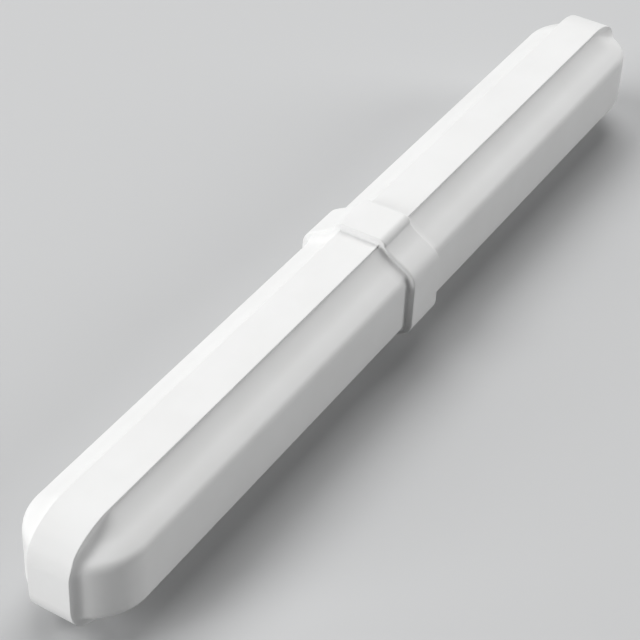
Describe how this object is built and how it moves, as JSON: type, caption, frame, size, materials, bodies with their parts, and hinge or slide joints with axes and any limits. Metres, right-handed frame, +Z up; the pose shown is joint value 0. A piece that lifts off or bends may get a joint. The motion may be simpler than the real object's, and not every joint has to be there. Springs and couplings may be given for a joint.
{
  "type": "magnetic stir bar",
  "caption": "Straight eight-sided magnetic stir bar with rounded ends and a raised pivot ring at its middle, sealed in a smooth white moulded jacket.",
  "frame": {"origin": "middle of the underside of the pivot ring, where the bar rests", "axes": "+X along the bar, +Z up through the top flat, Y across the side flats"},
  "size_m": [0.064, 0.008, 0.008],
  "materials": {
    "white_fluoropolymer": "smooth waxy satin, moulded, slightly cloudy white",
    "magnet_alloy": "dull ground grey metal, never seen because it is sealed in"
  },
  "bodies": {
    "root": {"jacket": "white_fluoropolymer", "magnet": "magnet_alloy"}
  },
  "joints": []
}
